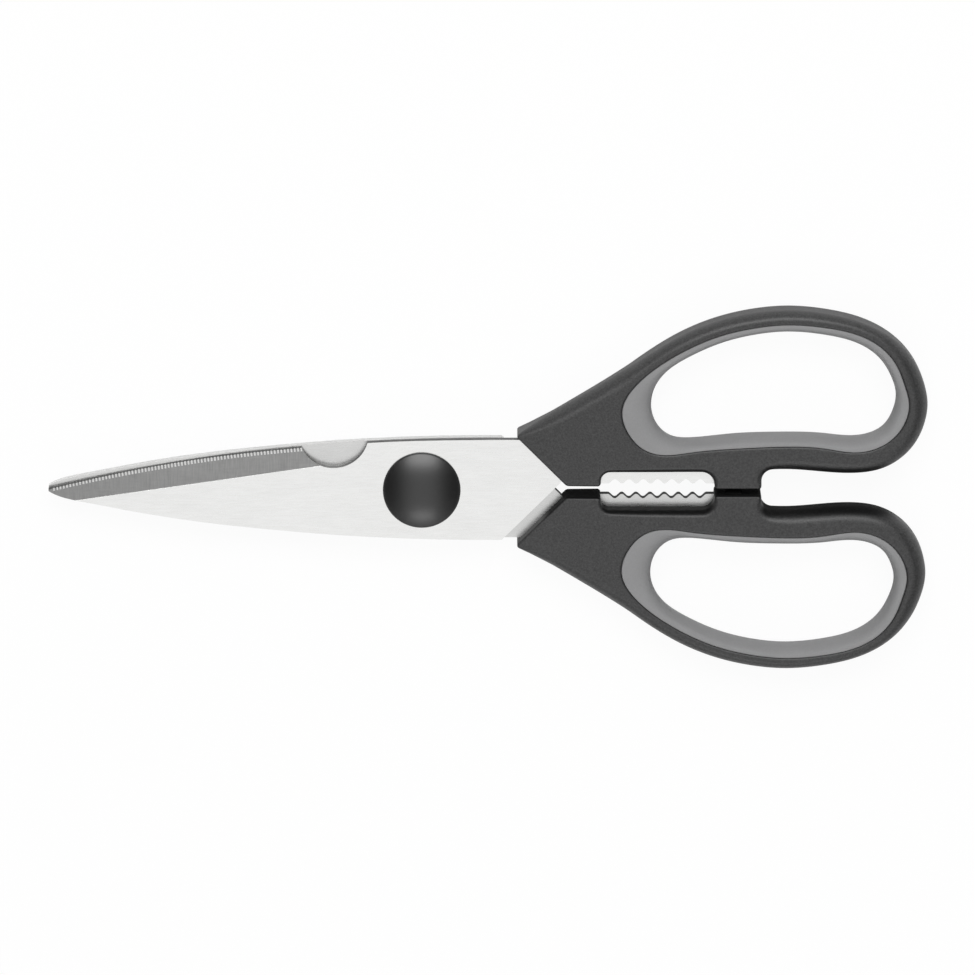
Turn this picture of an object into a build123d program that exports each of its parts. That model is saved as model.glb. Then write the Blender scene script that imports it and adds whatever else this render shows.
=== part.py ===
from build123d import *
import math
import os

# Kitchen shears lying closed on their back, in millimetres.
# The blades point to -X, the finger loops to +X, and the front blade faces up, to +Z.
# Each half is drawn in its own half plane, whose origin is on the pivot axis between
# the blades: u runs from the pivot towards the loops, v towards that half's own loop,
# and w from the parting face out through that half's blade.

# Overall size
overall_length = 215.0
tip_reach = 91.4  # pivot axis to the blade tips
loop_half_width = 45.1  # centre line to the outer rim of a loop
handle_thickness = 11.0

# Blades
blade_half_width = 12.6
blade_thickness = 2.5
blade_gap = 0.1  # running gap between the two blades
heel_distance = 22.75  # pivot axis to the sloping heel of a blade
shoulder_depth = 2.83  # the full width of a blade goes this far into its handle
edge_shares = [
    (-1.0, 0.01),
    (-0.85, 0.262),
    (-0.65, 0.535),
    (-0.49, 0.706),
    (-0.32, 0.83),
    (-0.14, 0.94),
    (0.075, 0.993),
]
spine_shares = [
    (-1.0, -0.045),
    (-0.985, -0.1),
    (-0.93, -0.208),
    (-0.73, -0.488),
    (-0.57, -0.663),
    (-0.41, -0.79),
    (-0.25, -0.891),
    (-0.085, -0.96),
]

# Bone notch of the front blade
notch_distance = 21.6  # pivot axis to the middle of the notch
notch_radius = 8.7
notch_rise = 1.6  # centre of the notch beyond the blade's edge

# Ground bevel of each blade, from a straight grind line on its outer face to the edge.
# The line's heights and the width of the bevel are shares of the blade's half width.
bevel_lead = 3.3  # the grind ends this far before the middle of the notch
edge_land = 0.3  # steel left at the edge where the bevel is widest
grind_start_share = 0.4817
grind_tip_share = -0.288
grind_width_share = 0.45

# Fine serrations of the front blade, from its tip to the notch
serration_pitch = 0.82
serration_inset = 1.3  # tip of the blade to the first serration
serration_width = 0.42
serration_length = 1.35
serration_depth = 0.16

# Tang, jaw teeth and anchor holes, which the handle is moulded over
tang_inner_height = 3.0
tang_outer_height = 8.0
tang_cover = 2.6  # plastic between the tang's end and the slot
tang_corner = 1.5
tang_slope_radius = 9.0
tooth_tip_height = 1.65
tooth_count = 7
tooth_flank = 43.0  # degrees between a tooth's flank and the centre line
tooth_radius_share = 0.215  # of the pitch; rounds each tooth and each gullet
jaw_front_cover = 0.6  # how far each end of the jaw goes into the handle
jaw_rear_cover = 1.6
anchor_radius = 1.9
end_anchor_inset = 3.7  # tang's end to the middle of its rear anchor hole
neck_anchor_share = 0.434  # from the shoulder to the front of the liner

# Handles; heights are measured from the centre line
heel_gap = 3.25  # from a blade's heel to the other half's handle
shoulder_cover = 1.3  # handle standing out beyond the blade's edge
neck_half_gap = 1.35
jaw_recess_height = 4.75
bumper_height = 0.75
slot_height = 5.12
slot_corner = 2.3
recess_corner = 3.2
recess_front_corner = 2.2
neck_corner = 0.8
rim_radius = 2.2
neck_rim_radius = 0.7  # on the straight edges of the neck, the jaw recess and the bumper

# Places along a handle, as shares of the distance from the pivot to the loops' end
jaw_recess_start_share = 0.3544
loop_start_share = 0.3956
jaw_recess_end_share = 0.5793
bumper_end_share = 0.6723
slot_joint_share = 0.716

# Outer rim, in the box from the neck's corner to the loop's end and outer side
rim_shares = [
    (0.1329, 0.4834),
    (0.2792, 0.6863),
    (0.3884, 0.8426),
    (0.4977, 0.9446),
    (0.587, 0.9878),
    (0.6615, 1.0),
    (0.7528, 0.9812),
    (0.8263, 0.9424),
    (0.8988, 0.8659),
    (0.9544, 0.7517),
    (0.9891, 0.5987),
    (1.0, 0.4767),
    (0.9939, 0.377),
    (0.9752, 0.275),
    (0.9394, 0.18),
    (0.8898, 0.1164),
    (0.8253, 0.092),
]

# Stop boss on the face where the two handles meet
stop_share = 0.41  # from the jaw recess to the slot
stop_length = 4.4
stop_width = 7.0
stop_corner = 1.2
stop_gap = 0.3  # left between the two bosses when the shears are closed

# Soft liners of the finger loops
loop_floor_height = 9.4  # centre line to the inner side of a liner
rim_top_width = 3.1  # hard rim left outside the liner
rim_back_width = 4.65
liner_front_width = 7.2  # soft band round the finger hole
liner_back_width = 3.05
liner_top_width = 2.2
liner_floor_width = 2.7
liner_edge_radius = 1.2
liner_seam_radius = 0.3
rib_height = 1.1  # rib of the handle that stands into the liner
rib_width = 4.0
liner_shares = [
    (0.133, 0.0),
    (0.08, 0.035),
    (0.029, 0.14),
    (0.0, 0.34),
    (0.06, 0.561),
    (0.134, 0.692),
    (0.237, 0.822),
    (0.344, 0.917),
    (0.447, 0.971),
    (0.58, 1.0),
    (0.708, 0.978),
    (0.815, 0.926),
    (0.894, 0.837),
    (0.951, 0.702),
    (0.986, 0.52),
    (1.0, 0.3865),
    (0.989, 0.264),
    (0.938, 0.112),
    (0.829, 0.02),
    (0.708, 0.048),
    (0.558, 0.062),
    (0.394, 0.047),
    (0.237, 0.017),
]
hole_shares = [
    (0.157, 0.0),
    (0.085, 0.023),
    (0.032, 0.112),
    (0.0, 0.303),
    (0.015, 0.487),
    (0.065, 0.639),
    (0.16, 0.776),
    (0.283, 0.895),
    (0.4055, 0.966),
    (0.5585, 1.0),
    (0.713, 0.967),
    (0.836, 0.895),
    (0.926, 0.762),
    (0.98, 0.574),
    (1.0, 0.393),
    (0.985, 0.242),
    (0.95, 0.1155),
    (0.836, 0.02),
    (0.713, 0.0375),
    (0.533, 0.0477),
    (0.3445, 0.0354),
]

# Pivot hardware
shank_radius = 3.0
shank_flat = 2.4  # centre to each flat that keys the screw to the front blade
running_clearance = 0.05
head_radius = 6.0
head_height = 0.9
drive_slot_width = 1.2
drive_slot_depth = 0.5
thread_radius = 2.0
thread_clearance = 0.03
glide_radius = 6.6
glide_thickness = 0.25
spring_radius = 5.5
spring_thickness = 0.3
spring_rise = 0.15
nut_flat = 3.5  # centre to each flat of the nut
nut_height = 0.8
stack_gap = 0.03  # left between the flat faces of the pivot's stack

# Pivot caps
cap_radius = 9.5
cap_rim_height = 0.45
cap_wall = 0.7
cap_lift = 0.1  # running gap under the rear cap, which turns on the rear blade
socket_wall = 0.9  # ring inside a cap that grips the head or the nut
grip_clearance = 0.05

# One overrun for all cuts
overrun = 1.0

# Places worked out from the sizes above
root_two = math.sqrt(2)
loop_reach = overall_length - tip_reach
pivot_x = tip_reach - overall_length / 2
parting_height = handle_thickness / 2
blade_inner = blade_gap / 2
blade_outer = blade_inner + blade_thickness
heel_sum = heel_distance * root_two  # u plus the distance from the centre line
neck_sum = (heel_distance + heel_gap) * root_two
neck_corner_v = blade_half_width + shoulder_cover
shoulder_u = neck_sum - blade_half_width + shoulder_depth
loop_start = loop_start_share * loop_reach
jaw_recess_start = jaw_recess_start_share * loop_reach
jaw_recess_end = jaw_recess_end_share * loop_reach
bumper_end = bumper_end_share * loop_reach
tang_reach = bumper_end - tang_cover
pivot_point = (pivot_x, 0, parting_height)
front_plane = Plane(origin=pivot_point)
rear_plane = Plane(origin=pivot_point, x_dir=(1, 0, 0), z_dir=(0, 0, -1))

os.makedirs("parts", exist_ok=True)


def placed(shares, u_low, u_high, v_low, v_high):
    """Outline points from shares of the box that the outline fills."""
    points = []
    for u_share, v_share in shares:
        u = u_low + u_share * (u_high - u_low)
        v = v_low + v_share * (v_high - v_low)
        points.append((u, v))
    return points


# Shared outlines, drawn once and used by both halves

# Blade and tang: cutting edge on the +v side, spine on the -v side
edge_points = placed(edge_shares, 0, tip_reach, 0, blade_half_width)
spine_points = placed(spine_shares, 0, tip_reach, 0, blade_half_width)

# The teeth fill the jaw recess but for a pitch at each end. They are a zigzag with rounded
# corners, and the rounding eats corner_loss off each corner.
tooth_pitch = (jaw_recess_end - jaw_recess_start) / (tooth_count + 1)
tooth_radius = tooth_radius_share * tooth_pitch
flank_slope = math.tan(math.radians(tooth_flank))
corner_loss = tooth_radius / math.cos(math.radians(tooth_flank)) - tooth_radius
zigzag_high = tooth_tip_height - corner_loss + flank_slope * tooth_pitch / 2
flank_run = (zigzag_high - tooth_tip_height) / flank_slope
first_gullet = jaw_recess_start + tooth_pitch
last_gullet = jaw_recess_end - tooth_pitch
tooth_points = [(first_gullet - flank_run, tooth_tip_height)]
for tooth in range(tooth_count):
    gullet = first_gullet + tooth * tooth_pitch
    tooth_points.append((gullet, zigzag_high))
    if tooth < tooth_count - 1:
        tooth_points.append((gullet + tooth_pitch / 2, tooth_tip_height - corner_loss))
tooth_points.append((last_gullet + flank_run, tooth_tip_height))
tooth_radii = [tooth_radius] * len(tooth_points)

jaw_start = jaw_recess_start - jaw_front_cover
jaw_end = jaw_recess_end + jaw_rear_cover
with BuildSketch() as blade_outline:
    with BuildLine():
        cutting_edge = Spline(*edge_points, (shoulder_u, blade_half_width))
        Line(cutting_edge @ 0, spine_points[0])
        spine = Spline(*spine_points, (heel_sum - blade_half_width, -blade_half_width))
        heel = Line(spine @ 1, (heel_sum + tang_inner_height, tang_inner_height))
        FilletPolyline(
            heel @ 1,
            (jaw_start, tang_inner_height),
            (jaw_start, tooth_tip_height),
            *tooth_points,
            (jaw_end, tooth_tip_height),
            (jaw_end + tang_inner_height - tooth_tip_height, tang_inner_height),
            (tang_reach, tang_inner_height),
            (tang_reach, tang_outer_height),
            (loop_start, tang_outer_height),
            (shoulder_u, blade_half_width),
            radius=[0, 0] + tooth_radii + [0, 0, tang_corner, tang_corner, tang_slope_radius],
        )
    make_face()
    tang_middle = (tang_inner_height + tang_outer_height) / 2
    neck_anchor_u = shoulder_u + neck_anchor_share * (loop_start - shoulder_u)
    tang_drop = neck_anchor_share * (blade_half_width - tang_outer_height)
    neck_anchor_v = (tang_inner_height + blade_half_width - tang_drop) / 2
    anchors = [(neck_anchor_u, neck_anchor_v), (tang_reach - end_anchor_inset, tang_middle)]
    with Locations(*anchors):
        Circle(anchor_radius, mode=Mode.SUBTRACT)

# Hard moulding of a handle, with the jaw recess, the bumper and the rear slot
neck_corner_u = neck_sum - neck_corner_v
rim_points = placed(rim_shares, neck_corner_u, loop_reach, 0, loop_half_width)
shoulder_run = (rim_points[0][0] - neck_corner_u, rim_points[0][1] - neck_corner_v)
slot_joint = (slot_joint_share * loop_reach, slot_height)
with BuildSketch() as handle_outline:
    with BuildLine():
        Spline(
            (neck_corner_u, neck_corner_v),
            *rim_points,
            slot_joint,
            tangents=[shoulder_run, (-1, 0)],
        )
        FilletPolyline(
            slot_joint,
            (bumper_end, slot_height),
            (bumper_end, bumper_height),
            (jaw_recess_end, bumper_height),
            (jaw_recess_end, jaw_recess_height),
            (jaw_recess_start, jaw_recess_height),
            (jaw_recess_start, neck_half_gap),
            (neck_sum - neck_half_gap, neck_half_gap),
            (neck_corner_u, neck_corner_v),
            radius=[slot_corner, 0, 0, recess_corner, recess_front_corner, 0, 0],
        )
    make_face()

# Soft liner and the finger hole inside it
liner_box = [
    loop_start,
    loop_reach - rim_back_width,
    loop_floor_height,
    loop_half_width - rim_top_width,
]
hole_box = [
    liner_box[0] + liner_front_width,
    liner_box[1] - liner_back_width,
    liner_box[2] + liner_floor_width,
    liner_box[3] - liner_top_width,
]
rib_box = [
    liner_box[0] + rib_height,
    liner_box[1] - rib_height,
    liner_box[2] + rib_height,
    liner_box[3] - rib_height,
]
with BuildSketch() as liner_outline:
    with BuildLine():
        Spline(*placed(liner_shares, *liner_box), periodic=True)
    make_face()
with BuildSketch() as rib_outline:
    with BuildLine():
        Spline(*placed(liner_shares, *rib_box), periodic=True)
    make_face()
with BuildSketch() as hole_outline:
    with BuildLine():
        Spline(*placed(hole_shares, *hole_box), periodic=True)
    make_face()


def grind_plane(half_plane):
    """The plane of a blade's ground bevel: x along the grind line, y up to the edge."""
    start_distance = notch_distance + bevel_lead
    start_height = grind_start_share * blade_half_width
    fall = start_height - grind_tip_share * blade_half_width
    slope = math.degrees(math.atan2(fall, tip_reach - start_distance))
    bevel_depth = blade_thickness - edge_land
    bevel_angle = math.degrees(math.atan2(bevel_depth, grind_width_share * blade_half_width))
    line_start = Location((-start_distance, start_height, blade_outer))
    lean = Rotation(0, 0, slope) * Rotation(-bevel_angle, 0, 0)
    return Plane(half_plane.location * line_start * lean)


# Front blade: keyed to the screw by two flats, with the bone notch and the serrations
front_grind = grind_plane(front_plane)
serrated_length = math.hypot(tip_reach - notch_distance - notch_radius, blade_half_width)
serration_count = int(serrated_length / serration_pitch)
with BuildPart() as front_blade:
    with BuildSketch(front_plane.offset(blade_inner)):
        add(blade_outline.sketch)
    extrude(amount=blade_thickness)
    with BuildSketch(front_grind):
        Rectangle(tip_reach, blade_half_width, align=(Align.MAX, Align.MIN))
    extrude(amount=blade_thickness, mode=Mode.SUBTRACT)
    with BuildSketch(front_plane):
        Circle(shank_radius + running_clearance)
        flats = (shank_flat + running_clearance) * 2
        Rectangle(shank_radius * 3, flats, mode=Mode.INTERSECT)
        with Locations((-notch_distance, blade_half_width + notch_rise)):
            Circle(notch_radius)
    extrude(amount=blade_outer + overrun, mode=Mode.SUBTRACT)
    with BuildSketch(front_grind):
        for mark in range(serration_count):
            along = serration_inset + mark * serration_pitch
            on_edge = cutting_edge.position_at(along, position_mode=PositionMode.LENGTH)
            spot = front_grind.to_local_coords(front_plane.from_local_coords(on_edge))
            with Locations((spot.X, spot.Y + (overrun - serration_length) / 2)):
                Rectangle(serration_width, serration_length + overrun)
    extrude(amount=-serration_depth, mode=Mode.SUBTRACT)

# Rear blade: the same stamping with a plain edge, turning on the screw's round shank
with BuildPart() as rear_blade:
    with BuildSketch(rear_plane.offset(blade_inner)):
        add(blade_outline.sketch)
    extrude(amount=blade_thickness)
    with BuildSketch(grind_plane(rear_plane)):
        Rectangle(tip_reach, blade_half_width, align=(Align.MAX, Align.MIN))
    extrude(amount=blade_thickness, mode=Mode.SUBTRACT)
    with BuildSketch(rear_plane):
        Circle(shank_radius + running_clearance)
    extrude(amount=blade_outer + overrun, mode=Mode.SUBTRACT)


def moulded_handle(half_plane, blade):
    """Hard moulding of one half: cast round the tang, with a rib that holds its liner."""
    half_thickness = handle_thickness / 2
    stop_u = jaw_recess_end + stop_share * (bumper_end - jaw_recess_end)
    stop_point = half_plane.from_local_coords((stop_u, bumper_height, 0))
    stop_plane = Plane(stop_point, x_dir=half_plane.x_dir, z_dir=-half_plane.y_dir)
    with BuildPart() as handle:
        with BuildSketch(half_plane.offset(-half_thickness)):
            add(handle_outline.sketch)
        extrude(amount=handle_thickness)
        rims = handle.edges().group_by(Axis.Z)[0] + handle.edges().group_by(Axis.Z)[-1]
        slot_x = pivot_x + bumper_end
        slot_rims = rims.filter_by_position(Axis.X, slot_x, slot_x + overall_length)
        loop_rims = ShapeList(set(slot_rims + rims.filter_by(GeomType.BSPLINE)))
        fillet(loop_rims, rim_radius)
        corners = handle.edges().filter_by(Axis.Z).group_by(Axis.X)[0]
        fillet(corners, neck_corner)
        rims = handle.edges().group_by(Axis.Z)[0] + handle.edges().group_by(Axis.Z)[-1]
        rims = rims.filter_by_position(Axis.X, pivot_x, slot_x)
        neck_rims = rims.filter_by(GeomType.LINE) + rims.filter_by(GeomType.CIRCLE)
        fillet(neck_rims, neck_rim_radius)
        for side in (-1, 1):
            with BuildSketch(half_plane.offset(side * rib_width / 2)):
                add(liner_outline.sketch)
            extrude(amount=side * half_thickness, mode=Mode.SUBTRACT)
        with BuildSketch(half_plane.offset(-half_thickness)):
            add(rib_outline.sketch)
        extrude(amount=handle_thickness, mode=Mode.SUBTRACT)
        with BuildSketch(stop_plane):
            RectangleRounded(stop_length, stop_width, stop_corner)
        extrude(amount=bumper_height - stop_gap / 2)
        add(blade.part, mode=Mode.SUBTRACT)
    return handle


def soft_liner(half_plane):
    """Soft liner of one loop: rounded round the finger hole, grooved for the rib."""
    half_thickness = handle_thickness / 2
    with BuildPart() as liner:
        with BuildSketch(half_plane.offset(-half_thickness)):
            add(liner_outline.sketch)
            add(hole_outline.sketch, mode=Mode.SUBTRACT)
        extrude(amount=handle_thickness)
        rims = liner.edges().group_by(Axis.Z)[0] + liner.edges().group_by(Axis.Z)[-1]
        hole_rims = rims.group_by(SortBy.LENGTH)[0]
        fillet(hole_rims, liner_edge_radius)
        seams = liner.edges().group_by(Axis.Z)[0] + liner.edges().group_by(Axis.Z)[-1]
        fillet(seams.group_by(SortBy.LENGTH)[-1], liner_seam_radius)
        with BuildSketch(half_plane.offset(-rib_width / 2)):
            add(liner_outline.sketch)
            add(rib_outline.sketch, mode=Mode.SUBTRACT)
        extrude(amount=rib_width, mode=Mode.SUBTRACT)
    return liner


upper_handle = moulded_handle(front_plane, front_blade)
lower_handle = moulded_handle(rear_plane, rear_blade)
upper_liner = soft_liner(front_plane)
lower_liner = soft_liner(rear_plane)

# Screw of the pivot: flat head, keyed shank in the front blade, round shank, thread
spring_depth = blade_outer + glide_thickness + stack_gap * 2
shoulder_depth = spring_depth + spring_rise + spring_thickness
with BuildPart() as pivot_screw:
    with BuildSketch(front_plane.offset(blade_outer + stack_gap)):
        Circle(head_radius)
    extrude(amount=head_height)
    chamfer(pivot_screw.edges().group_by(Axis.Z)[-1], drive_slot_depth / 2)
    with BuildSketch(front_plane):
        Circle(shank_radius)
        Rectangle(shank_radius * 3, shank_flat * 2, mode=Mode.INTERSECT)
    extrude(amount=blade_outer + stack_gap)
    with BuildSketch(rear_plane):
        Circle(shank_radius)
    extrude(amount=shoulder_depth)
    with BuildSketch(rear_plane):
        Circle(thread_radius)
    extrude(amount=shoulder_depth + stack_gap + nut_height)
    with BuildSketch(front_plane.offset(blade_outer + stack_gap + head_height)):
        Rectangle(head_radius * 3, drive_slot_width)
    extrude(amount=-drive_slot_depth, mode=Mode.SUBTRACT)

# Glide washer between the rear blade and the spring washer
with BuildPart() as glide_washer:
    with BuildSketch(rear_plane.offset(blade_outer + stack_gap)):
        Circle(glide_radius)
        Circle(shank_radius + running_clearance, mode=Mode.SUBTRACT)
    extrude(amount=glide_thickness)

# Dished spring washer that keeps the blades together
with BuildPart() as spring_washer:
    spring_plane = rear_plane.offset(spring_depth)
    section = Plane(spring_plane.origin, x_dir=spring_plane.x_dir, z_dir=-spring_plane.y_dir)
    with BuildSketch(section):
        with BuildLine():
            Polyline(
                (shank_radius + running_clearance, spring_rise),
                (spring_radius, 0),
                (spring_radius, spring_thickness),
                (shank_radius + running_clearance, spring_rise + spring_thickness),
                close=True,
            )
        make_face()
    revolve(axis=Axis(spring_plane.origin, spring_plane.z_dir))

# Thin nut on the screw's thread
with BuildPart() as pivot_nut:
    with BuildSketch(rear_plane.offset(shoulder_depth + stack_gap)):
        RegularPolygon(radius=nut_flat, side_count=6, major_radius=False)
        Circle(thread_radius + thread_clearance, mode=Mode.SUBTRACT)
    extrude(amount=nut_height)


def domed_cap(base_plane, cap_height, socket_radius, socket_start):
    """Hollow domed cap standing on base_plane, with a ring that grips what it covers."""
    crown = cap_height - cap_rim_height
    dome_radius = (cap_radius**2 + crown**2) / (2 * crown)
    centre_height = cap_height - dome_radius
    section = Plane(base_plane.origin, x_dir=base_plane.x_dir, z_dir=-base_plane.y_dir)
    turn_axis = Axis(base_plane.origin, base_plane.z_dir)
    with BuildPart() as cap:
        for inset, mode in ((0, Mode.ADD), (cap_wall, Mode.SUBTRACT)):
            radius = dome_radius - inset
            span = math.degrees(math.asin((cap_radius - inset) / radius))
            with BuildSketch(section):
                with BuildLine():
                    top = CenterArc((0, centre_height), radius, 90 - span, span)
                    Polyline(top @ 0, (cap_radius - inset, 0), (0, 0), top @ 1)
                make_face()
            revolve(axis=turn_axis, mode=mode)
        ring_radius = socket_radius + socket_wall
        ceiling = centre_height + math.sqrt((dome_radius - cap_wall / 2) ** 2 - ring_radius**2)
        with BuildSketch(base_plane.offset(socket_start)):
            Circle(ring_radius)
            Circle(socket_radius, mode=Mode.SUBTRACT)
        extrude(amount=ceiling - socket_start)
    return cap


nut_corner = nut_flat / math.cos(math.radians(30))
front_pivot_cap = domed_cap(
    front_plane.offset(blade_outer),
    handle_thickness / 2 - blade_outer,
    head_radius + grip_clearance,
    0,
)
rear_cap_base = blade_outer + cap_lift
rear_pivot_cap = domed_cap(
    rear_plane.offset(rear_cap_base),
    handle_thickness / 2 - rear_cap_base,
    nut_corner + grip_clearance,
    shoulder_depth + stack_gap - rear_cap_base,
)

front_blade.part.label = "front_blade"
rear_blade.part.label = "rear_blade"
upper_handle.part.label = "upper_handle"
lower_handle.part.label = "lower_handle"
upper_liner.part.label = "upper_liner"
lower_liner.part.label = "lower_liner"
pivot_screw.part.label = "pivot_screw"
glide_washer.part.label = "glide_washer"
spring_washer.part.label = "spring_washer"
pivot_nut.part.label = "pivot_nut"
front_pivot_cap.part.label = "front_pivot_cap"
rear_pivot_cap.part.label = "rear_pivot_cap"

export_step(front_blade.part, "parts/front_blade.step")
export_step(rear_blade.part, "parts/rear_blade.step")
export_step(upper_handle.part, "parts/upper_handle.step")
export_step(lower_handle.part, "parts/lower_handle.step")
export_step(upper_liner.part, "parts/upper_liner.step")
export_step(lower_liner.part, "parts/lower_liner.step")
export_step(pivot_screw.part, "parts/pivot_screw.step")
export_step(glide_washer.part, "parts/glide_washer.step")
export_step(spring_washer.part, "parts/spring_washer.step")
export_step(pivot_nut.part, "parts/pivot_nut.step")
export_step(front_pivot_cap.part, "parts/front_pivot_cap.step")
export_step(rear_pivot_cap.part, "parts/rear_pivot_cap.step")
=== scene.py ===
# %% [markdown]
# # Kitchen shears
# A pair of kitchen shears lies closed on its back. Two stamped and ground steel blades cross at a
# screw under a domed cap. Each blade runs into a black handle that is moulded round its tang, and
# each finger loop has a soft grey liner.
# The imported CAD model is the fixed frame: it holds every piece at its real size and place. The flat
# and ground steel is already right there, so the blades keep their CAD solids and only get a finish.
# The crowned handles, the liners and the caps are rounder than a CAD solid likes to be, so they are
# worked out again below as smooth surfaces. The same outlines are used, so nothing changes size.

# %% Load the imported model
import math

import bpy
import numpy as np
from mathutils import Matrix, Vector
from mathutils.geometry import delaunay_2d_cdt


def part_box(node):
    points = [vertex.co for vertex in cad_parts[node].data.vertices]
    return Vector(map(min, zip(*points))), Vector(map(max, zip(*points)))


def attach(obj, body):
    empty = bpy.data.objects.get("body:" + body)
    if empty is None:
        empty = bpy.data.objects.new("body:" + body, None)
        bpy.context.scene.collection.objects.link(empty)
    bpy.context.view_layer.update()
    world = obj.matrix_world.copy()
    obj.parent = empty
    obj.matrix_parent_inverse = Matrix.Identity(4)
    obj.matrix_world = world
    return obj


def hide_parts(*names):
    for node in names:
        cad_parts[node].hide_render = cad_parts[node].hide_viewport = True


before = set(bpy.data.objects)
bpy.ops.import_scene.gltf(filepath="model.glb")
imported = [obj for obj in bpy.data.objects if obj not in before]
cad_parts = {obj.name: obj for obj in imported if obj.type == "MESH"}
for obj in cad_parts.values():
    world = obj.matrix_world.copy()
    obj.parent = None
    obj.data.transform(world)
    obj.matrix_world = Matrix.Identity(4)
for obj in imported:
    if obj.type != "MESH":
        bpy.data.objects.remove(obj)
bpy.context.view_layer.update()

# %% [markdown]
# ## The camera
# The photograph is taken from nearly straight above, leaning 14 degrees towards the upper loop, so
# the walls that face that way just show. A long lens from two metres gives the same flat view.
# The lens follows from the width of the frame at that distance.

# %% Camera
camera_lean = math.radians(14)
camera_distance = 2.0
frame_width = 0.2389
blade_plane_height = 0.0055

camera_data = bpy.data.cameras.new("photo_camera")
camera_data.sensor_width = 36
camera_data.lens = camera_data.sensor_width * camera_distance / frame_width
camera = bpy.data.objects.new("photo_camera", camera_data)
camera.location = (
    0,
    camera_distance * math.sin(camera_lean),
    blade_plane_height + camera_distance * math.cos(camera_lean),
)
camera.rotation_euler = (-camera_lean, 0, 0)
bpy.context.scene.collection.objects.link(camera)
bpy.context.scene.camera = camera
bpy.context.scene.view_settings.view_transform = "Standard"
print("lens in mm:", round(camera_data.lens, 1))

# %% [markdown]
# ## Writing a finish as arithmetic
# A finish is a network of shader nodes. Wiring it by hand hides the idea, so a small class wraps a
# node's output and turns +, - and * into Math nodes. `1 - mask` then reads as what it does.
# Every other node comes from one method that takes its settings first and its inputs after that.

# %% A wrapped socket and a finish
class Value:
    """A number or colour that changes over a surface; arithmetic on it adds Math nodes."""

    def __init__(self, finish, socket):
        self.finish = finish
        self.socket = socket

    def __add__(self, other):
        return self.finish.maths("ADD", self, other)

    def __sub__(self, other):
        return self.finish.maths("SUBTRACT", self, other)

    def __rsub__(self, other):
        return self.finish.maths("SUBTRACT", other, self)

    def __mul__(self, other):
        return self.finish.maths("MULTIPLY", self, other)

    __radd__ = __add__
    __rmul__ = __mul__


class Finish:
    """A material, or the world, whose nodes are made by calls."""

    def __init__(self, tree):
        self.tree = tree
        self.tree.nodes.clear()

    def node(self, kind, settings=None, inputs=None, output=0):
        """Adds a node: its settings first, then the values or links of its sockets."""
        made = self.tree.nodes.new(kind)
        for name, setting in (settings or {}).items():
            setattr(made, name, setting)
        for socket, value in (inputs or {}).items():
            if isinstance(value, Value):
                self.tree.links.new(value.socket, made.inputs[socket])
            else:
                made.inputs[socket].default_value = value
        return Value(self, made.outputs[output] if made.outputs else None)

    def maths(self, operation, first, second=0.0):
        """A Math node on one or two numbers or values."""
        return self.node("ShaderNodeMath", {"operation": operation}, {0: first, 1: second})

    def ramp(self, value, low, high):
        """0 below low, 1 above high and a smooth step between them; low may be the larger."""
        settings = {"interpolation_type": "SMOOTHSTEP"}
        inputs = {"Value": value, "From Min": low, "From Max": high}
        return self.node("ShaderNodeMapRange", settings, inputs)

    def blend(self, mask, first, second):
        """The first colour where the mask is 0 and the second where it is 1."""
        settings = {"data_type": "RGBA"}
        return self.node("ShaderNodeMix", settings, {0: mask, 6: first, 7: second}, output=2)

    def coordinates(self, vector):
        """The x, y and z of a vector, each as a value."""
        split = self.node("ShaderNodeSeparateXYZ", inputs={0: vector})
        return [Value(self, socket) for socket in split.socket.node.outputs]

    def grain(self, position, stretch, detail=2.0):
        """Noise around 0.5, finer along an axis the larger its stretch is, in cells per metre."""
        scaled = self.node(
            "ShaderNodeVectorMath", {"operation": "MULTIPLY"}, {0: position, 1: stretch}
        )
        inputs = {"Vector": scaled, "Scale": 1.0, "Detail": detail}
        return self.node("ShaderNodeTexNoise", inputs=inputs)


def grey(level):
    """A neutral colour; level is linear, so 1 is white."""
    return (level, level, level, 1.0)


def material_finish(name):
    """A new material and the finish that builds its nodes."""
    material = bpy.data.materials.new(name)
    material.use_nodes = True
    return material, Finish(material.node_tree)


# %% [markdown]
# ## The floor
# The shears are photographed on white with hardly a shadow. The floor is one large shallow bowl: flat
# under the object and curving up far away, so that low views are also taken against white.
# Its paint is white, and the camera sees mostly a plain white glow, which keeps the background even
# while the soft contact shadow still shows through. Reflections see far less of the glow, so the
# undersides of the black handles stay black.

# %% Surfaces on a grid
def grid_faces(rows, columns, wrap_rows=False, wrap_columns=False):
    """Four-sided faces of a grid of points that is stored row by row."""
    row = np.arange(rows if wrap_rows else rows - 1)
    column = np.arange(columns if wrap_columns else columns - 1)
    row, column = np.meshgrid(row, column, indexing="ij")
    next_row = (row + 1) % rows
    next_column = (column + 1) % columns
    corners = [
        row * columns + column,
        next_row * columns + column,
        next_row * columns + next_column,
        row * columns + next_column,
    ]
    return np.stack(corners, axis=-1).reshape(-1, 4)


def mesh_object(name, points, faces, material, normals=None):
    """A smooth mesh from points in metres, lists of faces and one normal for each point."""
    mesh = bpy.data.meshes.new(name)
    mesh.from_pydata(points.tolist(), [], faces)
    mesh.polygons.foreach_set("use_smooth", np.ones(len(mesh.polygons), bool))
    mesh.materials.append(material)
    if normals is not None:
        mesh.normals_split_custom_set_from_vertices(normals.tolist())
    made = bpy.data.objects.new(name, mesh)
    bpy.context.scene.collection.objects.link(made)
    print(name, "has", len(mesh.vertices), "points and", len(mesh.polygons), "faces")
    return made


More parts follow.
